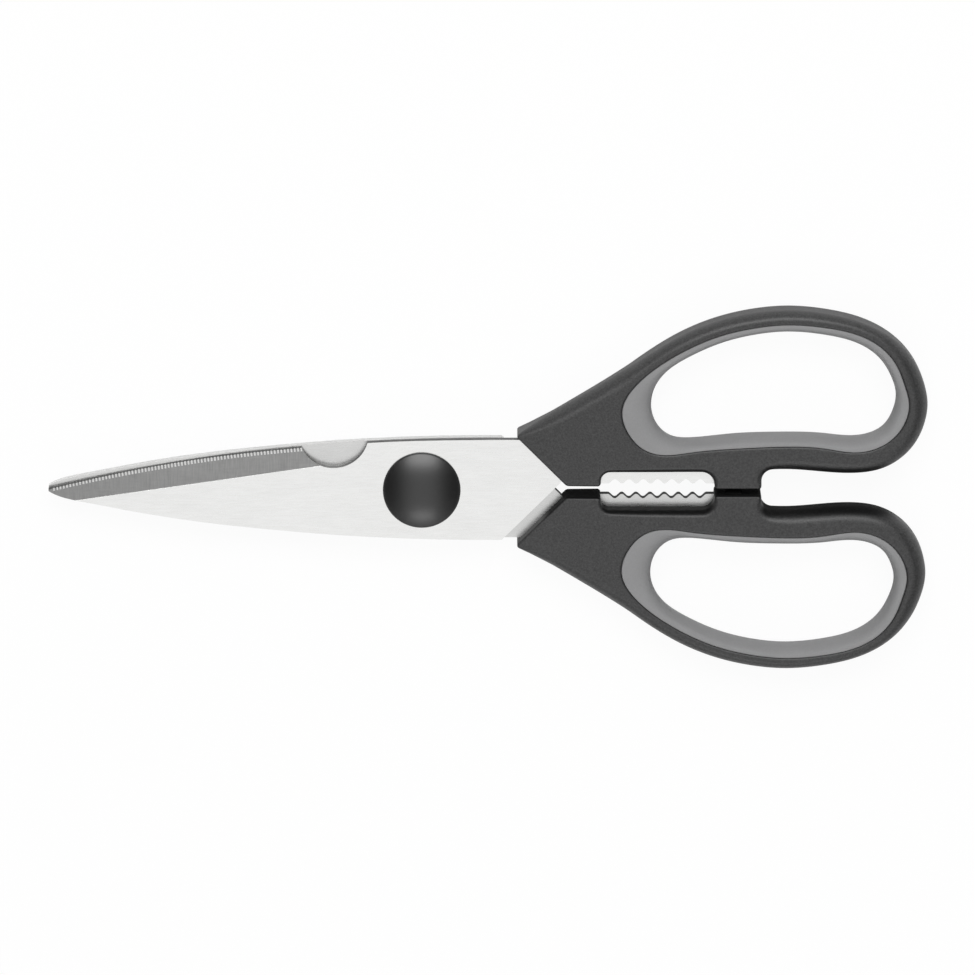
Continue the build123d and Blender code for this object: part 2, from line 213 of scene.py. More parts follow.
# %% Floor
glow_to_camera = 0.94
glow_in_reflections = 0.15
floor_material, finish = material_finish("white_floor")
light_path = finish.node("ShaderNodeLightPath")
rays = light_path.socket.node.outputs
seen_directly = Value(finish, rays["Is Camera Ray"]) * glow_to_camera
seen_in_gloss = finish.maths(
    "MAXIMUM", Value(finish, rays["Is Glossy Ray"]), Value(finish, rays["Is Transmission Ray"])
)
glow_share = finish.maths("MAXIMUM", seen_directly, seen_in_gloss * glow_in_reflections)
paint = finish.node("ShaderNodeBsdfDiffuse", inputs={"Color": grey(0.92)})
glow = finish.node("ShaderNodeEmission", inputs={"Color": grey(1.0), "Strength": 1.0})
surface = finish.node("ShaderNodeMixShader", inputs={0: glow_share, 1: paint, 2: glow})
finish.node("ShaderNodeOutputMaterial", inputs={"Surface": surface})

flat_radii = [0.02, 0.6, 1.6]
flat_radius = 2.7
bend_radius = 0.5
wall_height = 0.5
turn = np.linspace(0, math.pi / 2, 9)
floor_radii = np.concatenate([flat_radii, flat_radius + bend_radius * np.sin(turn)])
floor_heights = np.concatenate([[0, 0, 0], bend_radius * (1 - np.cos(turn))])
floor_radii = np.append(floor_radii, flat_radius + bend_radius)
floor_heights = np.append(floor_heights, bend_radius + wall_height)
around = np.linspace(0, 2 * math.pi, 96, endpoint=False)
floor_points = np.stack(
    [
        np.outer(floor_radii, np.cos(around)),
        np.outer(floor_radii, np.sin(around)),
        np.outer(floor_heights, np.ones_like(around)),
    ],
    axis=-1,
).reshape(-1, 3)
floor_quads = grid_faces(len(floor_radii), len(around), wrap_columns=True)
floor_faces = floor_quads.tolist() + [list(range(len(around)))]
floor = mesh_object("floor", floor_points, floor_faces, floor_material)

# %% [markdown]
# ## Studio light
# Steel and black plastic show their surroundings, so the light is set by what each face mirrors.
# The flat of a blade sends the camera's view a little beyond overhead, where the world is nearly
# white and a large dim soft box hangs. Nearer the horizon the world is greyer, so the blades don't
# clip to white when they are seen from the side. Off both ends it is nearly black, which keeps the
# dome's flanks dark, and it gets paler at the horizon for views along the blades.
# One bright lamp on the upper loop's side draws the light on the dome and on the handles' shoulders,
# and a smaller one opposite lights the lower rims.

# %% World
side_tones = (grey(0.94), grey(0.5))  # overhead, then at the horizon
end_tones = (grey(0.03), grey(0.42))
world = bpy.data.worlds.new("studio")
world.use_nodes = True
bpy.context.scene.world = world
finish = Finish(world.node_tree)
direction = finish.node("ShaderNodeTexCoord", output=0)
lengthways, _, upwards = finish.coordinates(direction)
sides = finish.blend(finish.ramp(upwards, 0.65, 0.2), *side_tones)
ends = finish.blend(finish.ramp(upwards, 0.55, 0.25), *end_tones)
towards_ends = finish.ramp(finish.maths("ABSOLUTE", lengthways), 0.2, 0.7)
sky = finish.blend(towards_ends, sides, ends)
background = finish.node("ShaderNodeBackground", inputs={"Color": sky, "Strength": 1.0})
finish.node("ShaderNodeOutputWorld", inputs={"Surface": background})


# %% Lamps
def soft_box(name, direction, width, depth, radiance, distance=1.5):
    """A rectangular lamp that faces the pivot; radiance 1 would light a mirror to white."""
    lamp_data = bpy.data.lights.new(name, "AREA")
    lamp_data.shape = "RECTANGLE"
    lamp_data.size = width
    lamp_data.size_y = depth
    lamp_data.energy = radiance * math.pi * width * depth
    lamp = bpy.data.objects.new(name, lamp_data)
    lamp.location = Vector(direction).normalized() * distance
    lamp.rotation_euler = (-lamp.location).to_track_quat("-Z", "Y").to_euler()
    bpy.context.scene.collection.objects.link(lamp)
    print(name, "at", [round(place, 2) for place in lamp.location])


def lean_direction(degrees):
    """Straight up at 0, and towards the upper loop's side for a positive lean."""
    return (0, math.sin(math.radians(degrees)), math.cos(math.radians(degrees)))


soft_box("overhead_box", lean_direction(-16), width=1.5, depth=0.9, radiance=0.12)
soft_box("upper_side_box", lean_direction(40), width=1.2, depth=0.7, radiance=4.6)
soft_box("lower_side_box", lean_direction(-51), width=0.7, depth=0.36, radiance=2.8)

# %% [markdown]
# ## Where the pieces are
# The outlines are repeated from the CAD source in its own terms. Each half is drawn in its own half
# plane: u runs from the pivot towards the loops, v towards that half's loop and w out through that
# half's blade. The rear half is the front half turned half round the X axis, so one set of numbers
# serves both.

# %% Shared sizes, in millimetres
overall_length = 215.0
tip_reach = 91.4
loop_reach = overall_length - tip_reach
loop_half_width = 45.1
half_thickness = 5.5
pivot_x = tip_reach - overall_length / 2
blade_half_width = 12.6
blade_outer = 2.55
blade_thickness = 2.5


def to_frame(points, half):
    """Points (u, v, w) in millimetres to the shared frame in metres; half is 1 or -1."""
    placed = np.array(points, float)
    placed[..., 0] += pivot_x
    placed[..., 1] *= half
    placed[..., 2] = placed[..., 2] * half + half_thickness
    return placed / 1000


def turned(normals, half):
    """Normals of the front half for either half."""
    return np.array(normals, float) * np.array([1, half, half])


# %% [markdown]
# ## Blade steel
# The blades are stamped from stainless strip, brushed along their length, and then ground across the
# edge to a bevel. The brushing shows as fine streaks in brightness and roughness. The bevel is a
# coarser finish whose scratches run towards the edge and scatter more light, and its colour is also
# painted darker: painted shade for the dim surroundings that its slope mirrors.
# The serrations are small cuts painted bright, a painted highlight, and a thin dark line painted
# along the edge is painted shade. A punch shears the walls of a blade smoothly at first and then
# tears them, and torn steel is rougher; where the walls show dark, their colour is painted shade.
# All of it depends on where a point lies, so the masks are worked out from object coordinates: the
# bevel is the plane that the grinding wheel left, a serration is steel a little below that plane, and
# the painted edge shade is the steel within its width of the edge's own curve.

# %% The plane of the grind
grind_start_u = -24.9  # from the pivot's axis, 3.3 mm ahead of the bone notch's middle
grind_start_share = 0.4817  # heights of the grind's border, as shares of the half width
grind_tip_share = -0.288
grind_width_share = 0.45
edge_land = 0.3  # steel left at the edge where the bevel is widest
grind_start = np.array([grind_start_u, grind_start_share * blade_half_width, blade_outer])
grind_fall = (grind_start_share - grind_tip_share) * blade_half_width
grind_slope = math.atan2(grind_fall, tip_reach + grind_start_u)
grind_angle = math.atan2(blade_thickness - edge_land, grind_width_share * blade_half_width)
grind_normal = np.array(
    [
        -math.sin(grind_angle) * math.sin(grind_slope),
        math.sin(grind_angle) * math.cos(grind_slope),
        math.cos(grind_angle),
    ]
)
print("grind angle in degrees:", round(math.degrees(grind_angle), 1))

# %% The curve of the edge
# The height of the edge, as a polynomial in the distance from the pivot's axis. It is fitted to the
# points that the CAD source draws its edge through, as shares of the reach and the half width.
edge_shares = np.array(
    [
        (-1, 0.01),
        (-0.85, 0.262),
        (-0.65, 0.535),
        (-0.49, 0.706),
        (-0.32, 0.83),
        (-0.14, 0.94),
        (0.075, 0.993),
    ]
)
edge_places = edge_shares[:, 0] * tip_reach
edge_heights = edge_shares[:, 1] * blade_half_width
edge_bow = np.polyfit(edge_places, edge_heights, 5)
edge_misfit = np.abs(np.polyval(edge_bow, edge_places) - edge_heights).max()
print("the fitted edge is within", round(float(edge_misfit), 3), "mm of its points")

# %% Where a blade's finish changes
# Each pair says where a mask is 0 and where it is 1, in millimetres. A tone is a linear grey.
bevel_skin = (-0.05, -0.02)  # over the plane of the grind
cut_top = (-0.05, -0.09)
cut_floor = (-0.25, -0.18)
wall_top = (-0.16, -0.22)
edge_shade_width = (0.42, 0.32)  # in from the edge
# Where the walls are torn and rougher, and painted dark as painted shade:
torn_and_shaded_above = (1.1, 1.3)  # height in the wall over the blade's inner face
front_torn_and_shaded = (-12.5, -13.5)  # from here to the tip, the front blade's walls are torn all through
rear_torn_and_shaded = (24, 28)  # from here back, the rear blade's are
face_tone = 0.79
# Darker than any steel: the grind's own tone with painted shade added.
bevel_tone = 0.126
# Painted shade for the dark walls.
wall_shade_tone = 0.12
# A painted highlight in the serrations.
serration_highlight_tone = 0.36
# Painted shade along the edge.
edge_shade_tone = 0.05


# %% Blade finish
def blade_finish(name, half):
    """Brushed steel with a ground bevel, for the front blade (half 1) or the rear one (-1)."""
    material, finish = material_finish(name)
    position = finish.node("ShaderNodeTexCoord", output=3)
    normal = turned(grind_normal, half)
    start = to_frame(grind_start, half)
    above_grind = (
        finish.node(
            "ShaderNodeVectorMath",
            {"operation": "DOT_PRODUCT"},
            {0: position, 1: tuple(normal)},
            output=1,
        )
        - float(normal @ start)
    ) * 1000
    along, across, height = finish.coordinates(position)
    along = along * 1000 - pivot_x
    out = (height * 1000 - half_thickness) * half

    # The bevel starts a hair under the flat face. The painted edge shade lies over the ends of the
    # serrations.
    under_face = finish.ramp(out, blade_outer - 0.003, blade_outer - 0.008)
    on_grind = finish.ramp(above_grind, *bevel_skin) * under_face
    well_under = finish.ramp(out, blade_outer - 0.3, blade_outer - 0.5)
    in_cut = finish.ramp(above_grind, *cut_floor) * finish.ramp(above_grind, *cut_top)
    in_cut = in_cut * well_under
    edge = 0.0
    for factor in edge_bow:
        edge = along * edge + float(factor)
    # Painted shade: a thin dark band along the edge's own curve.
    on_edge_shade = finish.ramp(edge - across * half * 1000, *edge_shade_width) * well_under
    on_edge_shade = on_edge_shade * finish.ramp(out, 0.1, 0.15)
    in_cut = in_cut * (1 - on_edge_shade)

    # The brushing is long in the blade's direction, and the grinder's scratches are long across it.
    brushing = finish.grain(position, (260, 3800, 3800), detail=3.0)
    clouds = finish.grain(position, (90, 260, 260))
    scratches = finish.grain(position, (5200, 240, 240), detail=3.0)

    # The inner face is a little darker. A wall is rougher where it is torn, and its colour there is
    # painted shade.
    on_inside = finish.ramp(out, 0.12, 0.07)
    face = face_tone + (brushing - 0.5) * 0.14 + (clouds - 0.5) * 0.06 - on_inside * 0.17
    bevel = bevel_tone + (scratches - 0.5) * 0.08
    # Walls painted dark as painted shade, where they are also rougher from tearing.
    on_wall = finish.ramp(out, 0.1, 0.2) * finish.ramp(out, blade_outer - 0.05, blade_outer - 0.15)
    on_wall = on_wall * finish.ramp(above_grind, *wall_top)
    if half > 0:
        torn_and_shaded_band = finish.ramp(out, *torn_and_shaded_above)
        on_wall = on_wall * finish.maths("MAXIMUM", torn_and_shaded_band, finish.ramp(along, *front_torn_and_shaded))
    else:
        on_wall = on_wall * finish.ramp(along, *rear_torn_and_shaded)

    # Each mask blends its own tone over what is there already.
    # The bevel's darker tone is partly painted shade.
    level = face + (bevel - face) * on_grind
    # Painted shade on the walls.
    level = level + (wall_shade_tone - level) * on_wall
    # Painted highlight in the serrations.
    level = level + (serration_highlight_tone - level) * in_cut
    # Painted shade along the edge.
    level = level + (edge_shade_tone - level) * on_edge_shade
    colour = finish.node("ShaderNodeCombineColor", inputs={0: level, 1: level, 2: level * 0.99})
    roughness = 0.28 + (brushing - 0.5) * 0.14 + (on_grind + on_wall) * 0.14 + in_cut * 0.2

    relief = brushing + (scratches - brushing) * on_grind
    inputs = {"Strength": 0.12, "Distance": 0.00002, "Height": relief}
    bump = finish.node("ShaderNodeBump", inputs=inputs)
    steel = {
        "Base Color": colour,
        "Metallic": 1.0,
        "Roughness": roughness,
        "Normal": bump,
    }
    shader = finish.node("ShaderNodeBsdfPrincipled", inputs=steel)
    finish.node("ShaderNodeOutputMaterial", inputs={"Surface": shader})
    return material


def dress(node, material):
    """Gives a CAD node's own material slots a better finish."""
    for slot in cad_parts[node].material_slots:
        slot.link = "OBJECT"
        slot.material = material


dress("front_blade", blade_finish("front_blade_steel", 1))
dress("rear_blade", blade_finish("rear_blade_steel", -1))

# %% [markdown]
# ## Pivot hardware
# The screw, nut and washers sit under the caps. They show when the shears are taken apart, so they
# are finished too: turned and plated steel with faint rings, and a plain natural plastic washer.
# Turning marks are circles about the axis, so the distance from the axis drives their noise.

# %% Hardware finishes
def ring_distance(finish, position):
    """Distance from the pivot's axis, in millimetres."""
    centred = finish.node(
        "ShaderNodeVectorMath",
        {"operation": "SUBTRACT"},
        {0: position, 1: (pivot_x / 1000, 0, 0)},
    )
    flat = finish.node(
        "ShaderNodeVectorMath", {"operation": "MULTIPLY"}, {0: centred, 1: (1000, 1000, 0)}
    )
    return finish.node("ShaderNodeVectorMath", {"operation": "LENGTH"}, {0: flat}, output=1)


def turned_finish(name, level, spread, metallic, roughness):
    """A part made on a lathe or in a round mould: rings of slightly different brightness."""
    material, finish = material_finish(name)
    position = finish.node("ShaderNodeTexCoord", output=3)
    distance = ring_distance(finish, position)
    inputs = {"W": distance, "Scale": 9.0, "Detail": 2.0}
    rings = finish.node("ShaderNodeTexNoise", {"noise_dimensions": "1D"}, inputs)
    specks = finish.grain(position, (2600, 2600, 2600))
    tone = level + (rings - 0.5) * spread + (specks - 0.5) * spread * 0.6
    colour = finish.node("ShaderNodeCombineColor", inputs={0: tone, 1: tone, 2: tone * 0.98})
    inputs = {"Strength": 0.2, "Distance": 0.00002, "Height": rings}
    bump = finish.node("ShaderNodeBump", inputs=inputs)
    inputs = {
        "Base Color": colour,
        "Metallic": metallic,
        "Roughness": roughness + (specks - 0.5) * 0.15,
        "Normal": bump,
    }
    shader = finish.node("ShaderNodeBsdfPrincipled", inputs=inputs)
    finish.node("ShaderNodeOutputMaterial", inputs={"Surface": shader})
    return material


plated_steel = turned_finish(
    "plated_steel", level=0.56, spread=0.2, metallic=1.0, roughness=0.32
)
natural_plastic = turned_finish(
    "natural_plastic", level=0.78, spread=0.08, metallic=0.0, roughness=0.42
)
dress("pivot_screw", plated_steel)
dress("spring_washer", plated_steel)
dress("pivot_nut", plated_steel)
dress("glide_washer", natural_plastic)

# %% [markdown]
# ## Moulded plastics
# The handles are black plastic from a spark-eroded mould, which leaves an even fine grain. It shows
# as small bumps that break up the shine, and a slight speckle. The caps come from a smoother mould.
# The liners are a soft rubbery plastic, grey and dull.
# All three are one recipe with different numbers. Little light gets in between the two halves, so
# the handles' walls there get painted shade: they are mixed towards a dark, dull surface. A normal in
# object coordinates tells which walls face the other half, and turns with the half.

# %% Plastic finishes
def between_halves(finish, position):
    """1 on the walls and rims that face the other half, close to the middle plane."""
    # This mask is where shade is painted on the handles.
    normal = finish.node("ShaderNodeTexCoord", output=1)
    sideways = finish.coordinates(position)[1] * 1000
    facing = finish.coordinates(normal)[1] * finish.maths("SIGN", sideways) * -1
    close = finish.ramp(finish.maths("ABSOLUTE", sideways), 8.0, 5.0)
    return finish.ramp(facing, 0.25, 0.8) * close


def moulded_finish(name, level, speckle, roughness, grain_size, relief, specular=0.5, painted_shade=0.0):
    """Moulded plastic with an even grain; grain_size in millimetres, relief its bump.

    With its last argument above 0, the walls between the halves get that much painted shade: they are
    mixed towards a near-black, dull surface.
    """
    material, finish = material_finish(name)
    position = finish.node("ShaderNodeTexCoord", output=3)
    cells = 1000 / grain_size
    grain = finish.grain(position, (cells, cells, cells), detail=1.0)
    fine = finish.grain(position, (cells * 2.7, cells * 2.7, cells * 2.7), detail=1.0)
    clouds = finish.grain(position, (120, 120, 120))
    tone = level * (1 + (grain - 0.5) * speckle + (fine - 0.5) * speckle + (clouds - 0.5) * 0.12)
    colour = finish.node("ShaderNodeCombineColor", inputs={0: tone, 1: tone, 2: tone * 1.01})
    height = grain * 0.7 + fine * 0.3
    bump = finish.node(
        "ShaderNodeBump", inputs={"Strength": relief, "Distance": 0.00006, "Height": height}
    )
    inputs = {
        "Base Color": colour,
        "Roughness": roughness + (fine - 0.5) * 0.12,
        "Specular IOR Level": specular,
        "Normal": bump,
    }
    shader = finish.node("ShaderNodeBsdfPrincipled", inputs=inputs)
    if painted_shade:
        # Painted shade: the walls between the halves are mixed towards a near-black, dull surface.
        painted_shade_bsdf = {"Base Color": grey(0.004), "Roughness": 0.9, "Specular IOR Level": 0.05}
        painted_shade_bsdf = finish.node("ShaderNodeBsdfPrincipled", inputs=painted_shade_bsdf)
        share = between_halves(finish, position) * painted_shade
        shader = finish.node("ShaderNodeMixShader", inputs={0: share, 1: shader, 2: painted_shade_bsdf})
    finish.node("ShaderNodeOutputMaterial", inputs={"Surface": shader})
    return material


black_plastic = moulded_finish(
    "black_grained_plastic",
    level=0.027,
    speckle=1.9,
    roughness=0.44,
    grain_size=0.45,
    relief=0.9,
    specular=0.58,
    painted_shade=0.85,
)
cap_plastic = moulded_finish(
    "black_satin_plastic",
    level=0.007,
    speckle=0.5,
    roughness=0.33,
    grain_size=0.4,
    relief=0.2,
    specular=0.75,
)
soft_plastic = moulded_finish(
    "grey_soft_plastic",
    level=0.27,
    speckle=0.12,
    roughness=0.72,
    grain_size=0.45,
    relief=0.25,
    specular=0.3,
)

# %% [markdown]
# ## Smooth outlines
# The handles and liners are drawn with a few measured points and a smooth curve through them, as
# one bends a drawing spline past pins. A cubic piece between each pair of points, with the same slope
# and curvature where two pieces meet, gives that curve, and one linear system finds the slopes.

# %% Curve through points
def smooth_curve(points, samples, closed=False, start=None, end=None):
    """Cubic pieces between points, of continuous slope and curvature, at even chord steps.

    With chord h between neighbours, the slopes m solve m[i-1]/h[i-1] + 2 m[i] (1/h[i-1] + 1/h[i])
    + m[i+1]/h[i] = 3 (rise[i-1]/h[i-1] + rise[i]/h[i]), where rise is a chord divided by h.
    """
    knots = np.array(points, float)
    if closed:
        knots = np.vstack([knots, knots[:1]])
    steps = np.diff(knots, axis=0)
    chord = np.linalg.norm(steps, axis=1)
    rise = steps / chord[:, None]
    count = len(knots) - 1 if closed else len(knots)
    here = np.arange(count)
    before = (here - 1) % len(chord)
    after = here % len(chord)
    system = np.zeros((count, count))
    system[here, (here - 1) % count] += 1 / chord[before]
    system[here, here] += 2 / chord[before] + 2 / chord[after]
    system[here, (here + 1) % count] += 1 / chord[after]
    target = 3 * (rise[before] / chord[before, None] + rise[after] / chord[after, None])
    if not closed:
        ends = np.array([0, count - 1])
        system[ends] = 0
        system[ends, ends] = 1
        target[0] = np.array(start) / np.linalg.norm(start)
        target[-1] = np.array(end) / np.linalg.norm(end)
    slopes = np.linalg.solve(system, target)
    if closed:
        slopes = np.vstack([slopes, slopes[:1]])
    along = np.concatenate([[0], np.cumsum(chord)])
    wanted = np.linspace(0, along[-1], samples, endpoint=not closed)
    piece = np.clip(np.searchsorted(along, wanted, side="right") - 1, 0, len(chord) - 1)
    share = ((wanted - along[piece]) / chord[piece])[:, None]
    bow_in = (slopes[piece] - rise[piece]) * (1 - share)
    bow_out = (rise[piece] - slopes[piece + 1]) * share
    bow = share * (1 - share) * chord[piece, None] * (bow_in + bow_out)
    return knots[piece] + share * steps[piece] + bow


def rounded_path(corners, radii, step=0.9, arc_step=0.22):
    """Straight runs between corners with an arc of the given radius at each inner corner."""
    corners = np.array(corners, float)
    pieces = [corners[:1]]
    for index, radius in enumerate(radii, start=1):
        corner = corners[index]
        back = corners[index - 1] - corner
        ahead = corners[index + 1] - corner
        back = back / np.linalg.norm(back)
        ahead = ahead / np.linalg.norm(ahead)
        half_angle = math.acos(np.clip(back @ ahead, -1, 1)) / 2
        middle = (back + ahead) / np.linalg.norm(back + ahead)
        centre = corner + middle * radius / math.sin(half_angle)
        tangent = radius / math.tan(half_angle)
        first = corner + back * tangent - centre
        last = corner + ahead * tangent - centre
        sweep = math.pi - 2 * half_angle
        share = np.linspace(0, 1, max(4, int(sweep * radius / arc_step)))[:, None]
        spread = np.sin((1 - share) * sweep) * first + np.sin(share * sweep) * last
        arc = centre + spread / math.sin(sweep)
        pieces.append(straight_run(pieces[-1][-1], arc[0], step)[1:-1])
        pieces.append(arc)
    pieces.append(straight_run(pieces[-1][-1], corners[-1], step)[1:])
    return np.vstack(pieces)


def straight_run(first, last, step):
    """Evenly spaced points from first to last."""
    count = max(2, int(np.linalg.norm(last - first) / step) + 1)
    return first + np.linspace(0, 1, count)[:, None] * (last - first)


def outward_normals(ring):
    """Unit normals of a closed ring of points that runs anticlockwise."""
    along = np.roll(ring, -1, axis=0) - np.roll(ring, 1, axis=0)
    across = np.stack([along[:, 1], -along[:, 0]], axis=1)
    return across / np.linalg.norm(across, axis=1, keepdims=True)


def anticlockwise(ring):
    """The same ring, turned round if it runs clockwise."""
    following = np.roll(ring, -1, axis=0)
    area = np.sum(ring[:, 0] * following[:, 1] - ring[:, 1] * following[:, 0])
    return ring if area > 0 else ring[::-1]


# %% [markdown]
# ## Outlines of a handle, its liner and its finger hole
# These are the CAD source's own measures, kept as shares of a box. The outer rim is one curve from
# the neck's corner round the loop to the slot. The inner side is a path of straight runs: the slot,
# the bumper where the two handles meet, the recess that holds the jaw's teeth, the gap along the neck
# and the sloping end at the blade.

# %% Boxes and shares
def placed(shares, u_low, u_high, v_low, v_high):
    """Points from shares of the box that an outline fills."""
    low = np.array([u_low, v_low])
    high = np.array([u_high, v_high])
    return low + np.array(shares) * (high - low)


neck_sum = (22.75 + 3.25) * math.sqrt(2)  # u + v along the handle's end
neck_corner = (neck_sum - 13.9, 13.9)
neck_half_gap = 1.35
recess_start = 0.3544 * loop_reach
recess_end = 0.5793 * loop_reach
recess_height = 4.75
bumper_end = 0.6723 * loop_reach
bumper_height = 0.75
slot_height = 5.12
slot_joint = (0.716 * loop_reach, slot_height)
rim_shares = [
    (0.1329, 0.4834), (0.2792, 0.6863), (0.3884, 0.8426), (0.4977, 0.9446), (0.587, 0.9878),
    (0.6615, 1.0), (0.7528, 0.9812), (0.8263, 0.9424), (0.8988, 0.8659), (0.9544, 0.7517),
    (0.9891, 0.5987), (1.0, 0.4767), (0.9939, 0.377), (0.9752, 0.275), (0.9394, 0.18),
    (0.8898, 0.1164), (0.8253, 0.092),
]
liner_shares = [
    (0.133, 0.0), (0.08, 0.035), (0.029, 0.14), (0.0, 0.34), (0.06, 0.561), (0.134, 0.692),
    (0.237, 0.822), (0.344, 0.917), (0.447, 0.971), (0.58, 1.0), (0.708, 0.978), (0.815, 0.926),
    (0.894, 0.837), (0.951, 0.702), (0.986, 0.52), (1.0, 0.3865), (0.989, 0.264), (0.938, 0.112),
    (0.829, 0.02), (0.708, 0.048), (0.558, 0.062), (0.394, 0.047), (0.237, 0.017),
]
hole_shares = [
    (0.157, 0.0), (0.085, 0.023), (0.032, 0.112), (0.0, 0.303), (0.015, 0.487), (0.065, 0.639),
    (0.16, 0.776), (0.283, 0.895), (0.4055, 0.966), (0.5585, 1.0), (0.713, 0.967),
    (0.836, 0.895), (0.926, 0.762), (0.98, 0.574), (1.0, 0.393), (0.985, 0.242),
    (0.95, 0.1155), (0.836, 0.02), (0.713, 0.0375), (0.533, 0.0477), (0.3445, 0.0354),
]
rim_back_width = 4.65  # hard rim left outside the liner
rim_top_width = 3.1
liner_front_width = 7.2  # soft band round the finger hole
liner_back_width = 3.05
liner_floor_width = 2.7
liner_top_width = 2.2
liner_box = (0.3956 * loop_reach, loop_reach - rim_back_width, 9.4, loop_half_width - rim_top_width)
hole_box = (
    liner_box[0] + liner_front_width,
    liner_box[1] - liner_back_width,
    liner_box[2] + liner_floor_width,
    liner_box[3] - liner_top_width,
)

# %% Outlines
rim_pins = placed(rim_shares, neck_corner[0], loop_reach, 0, loop_half_width)
rim_curve = smooth_curve(
    [neck_corner, *rim_pins, slot_joint],
    300,
    start=rim_pins[0] - np.array(neck_corner),
    end=(-1, 0),
)
first_on_rim = 4  # the neck's corner is rounded up to this point of the rim
inner_corners = [
    slot_joint,
    (bumper_end, slot_height),
    (bumper_end, bumper_height),
    (recess_end, bumper_height),
    (recess_end, recess_height),
    (recess_start, recess_height),
    (recess_start, neck_half_gap),
    (neck_sum - neck_half_gap, neck_half_gap),
    neck_corner,
    rim_curve[first_on_rim],
]
inner_radii = [2.6, 0.75, 0.75, 3.2, 2.2, 0.8, 1.5, 0.8]
inner_path = rounded_path(inner_corners, inner_radii)
handle_ring = anticlockwise(np.vstack([rim_curve[first_on_rim:], inner_path[1:-1]]))
liner_ring = anticlockwise(smooth_curve(placed(liner_shares, *liner_box), 200, closed=True))
hole_ring = anticlockwise(smooth_curve(placed(hole_shares, *hole_box), 200, closed=True))
print("handle outline:", len(handle_ring), "points, liner seat:", len(liner_ring), "points")

# %% [markdown]
# ## The handle mouldings
# A handle is about as thick as a finger and has no sharp rim: its shoulders roll over broadly along
# the loop and tightly along the neck. A CAD fillet has one radius. Here the shoulder is a quarter of
# an ellipse that is carried along the outline, and its width changes on the way: it follows a few
# stations, and never takes more room than there is between the outline and the liner.
# What is left between the shoulder and the liner's seat is flat, and is filled with triangles.

# %% Width of the rolled shoulder
shoulder_stations = [
    (neck_corner, 0.6),
    ((25.5, 15.5), 1.6),
    ((32.0, 19.3), 3.0),
    ((50.0, 30.5), 3.6),
    ((90.0, 45.1), 3.4),
    ((123.0, 27.0), 3.6),
    ((112.0, 5.0), 3.6),
    ((92.0, 5.1), 3.4),
    ((86.5, 5.2), 3.0),
    ((83.3, 3.4), 1.6),
    ((82.9, 0.95), 0.62),
    ((71.8, 0.95), 0.62),
    ((71.2, 3.6), 1.6),
    ((67.0, 4.75), 1.8),
    ((47.0, 4.75), 1.4),
    ((43.8, 2.6), 0.7),
    ((43.6, 1.4), 0.6),
    ((36.0, 1.4), 0.6),
    ((29.0, 7.8), 0.55),
]
ring_steps = np.linalg.norm(np.roll(handle_ring, -1, axis=0) - handle_ring, axis=1)
ring_along = np.concatenate([[0], np.cumsum(ring_steps)[:-1]])
station_points = np.array([place for place, width in shoulder_stations])
station_gaps = np.linalg.norm(handle_ring[None] - station_points[:, None], axis=2)
station_along = ring_along[np.argmin(station_gaps, axis=1)]
station_widths = np.array([width for place, width in shoulder_stations])
station_order = np.argsort(station_along)
wished_width = np.interp(
    ring_along,
    station_along[station_order],
    station_widths[station_order],
    period=ring_steps.sum(),
)
seat_gap = 0.7  # the moulding dips towards the liner over this width
seat_dip = 0.3
least_flat = 0.15
room = np.linalg.norm(handle_ring[:, None] - liner_ring[None], axis=2).min(axis=1)
shoulder_width = np.minimum(wished_width, room - seat_gap - least_flat)
smoothing = np.ones(7) / 7
padded_width = np.concatenate([shoulder_width[-3:], shoulder_width, shoulder_width[:3]])
shoulder_width = np.minimum(shoulder_width, np.convolve(padded_width, smoothing, mode="valid"))
print("shoulder width in mm:", round(shoulder_width.min(), 2), "to", round(shoulder_width.max(), 2))


# %% Rolled edges carried round a ring
neck_level = 4.5
thinning_length = 36.0
drop_to_width = 1.45
most_drop = 4.3
shoulder_drop = np.minimum(shoulder_width * drop_to_width, most_drop)


def face_level(u):
    """Height of a handle's face: neck_level at the blade and half_thickness at the loop.

    Between them it is neck_level + (half_thickness - neck_level) s^2 (3 - 2 s), with s the share
    of the way.
    """
    share = ((u - neck_corner[0]) / thinning_length).clip(0, 1)
    return neck_level + (half_thickness - neck_level) * share**2 * (3 - 2 * share)


def face_normals(u):
    """Normals of that face, which lean against its slope 6 s (1 - s) times rise over length."""
    share = ((u - neck_corner[0]) / thinning_length).clip(0, 1)
    slope = (half_thickness - neck_level) * 6 * share * (1 - share) / thinning_length
    normals = np.stack([-slope, np.zeros_like(slope), np.ones_like(slope)], axis=-1)
    return normals / np.linalg.norm(normals, axis=-1, keepdims=True)


def rolled_edge(ring, normals, width, drop, steps=10):
    """An edge that rolls over from the face to a wall, and back to the other face.

    At angle t the point is in by width (1 - sin t) and down by drop (1 - cos t), so it leaves the
    face level and meets the wall upright. Its normal leans out by sin t / width against cos t / drop.
    """
    angle = np.linspace(0, math.pi / 2, steps)
    width = np.broadcast_to(width, len(ring))[:, None]
    drop = np.broadcast_to(drop, len(ring))[:, None]
    inset = width * (1 - np.sin(angle))
    flat = ring[:, None] - normals[:, None] * inset[..., None]
    level = face_level(flat[..., 0]) - drop * (1 - np.cos(angle))
    lean_out = np.sin(angle) / width
    lean_up = np.cos(angle) / drop
    length = np.hypot(lean_out, lean_up)
    sideways = normals[:, None] * (lean_out / length)[..., None]
    top = np.concatenate([flat, level[..., None]], axis=-1)
    top_normals = np.concatenate([sideways, (lean_up / length)[..., None]], axis=-1)
    top_normals[:, 0] = face_normals(flat[:, 0, 0])
    mirror = np.array([1, 1, -1])
    points = np.concatenate([top, top[:, ::-1] * mirror], axis=1)
    point_normals = np.concatenate([top_normals, top_normals[:, ::-1] * mirror], axis=1)
    return points, point_normals


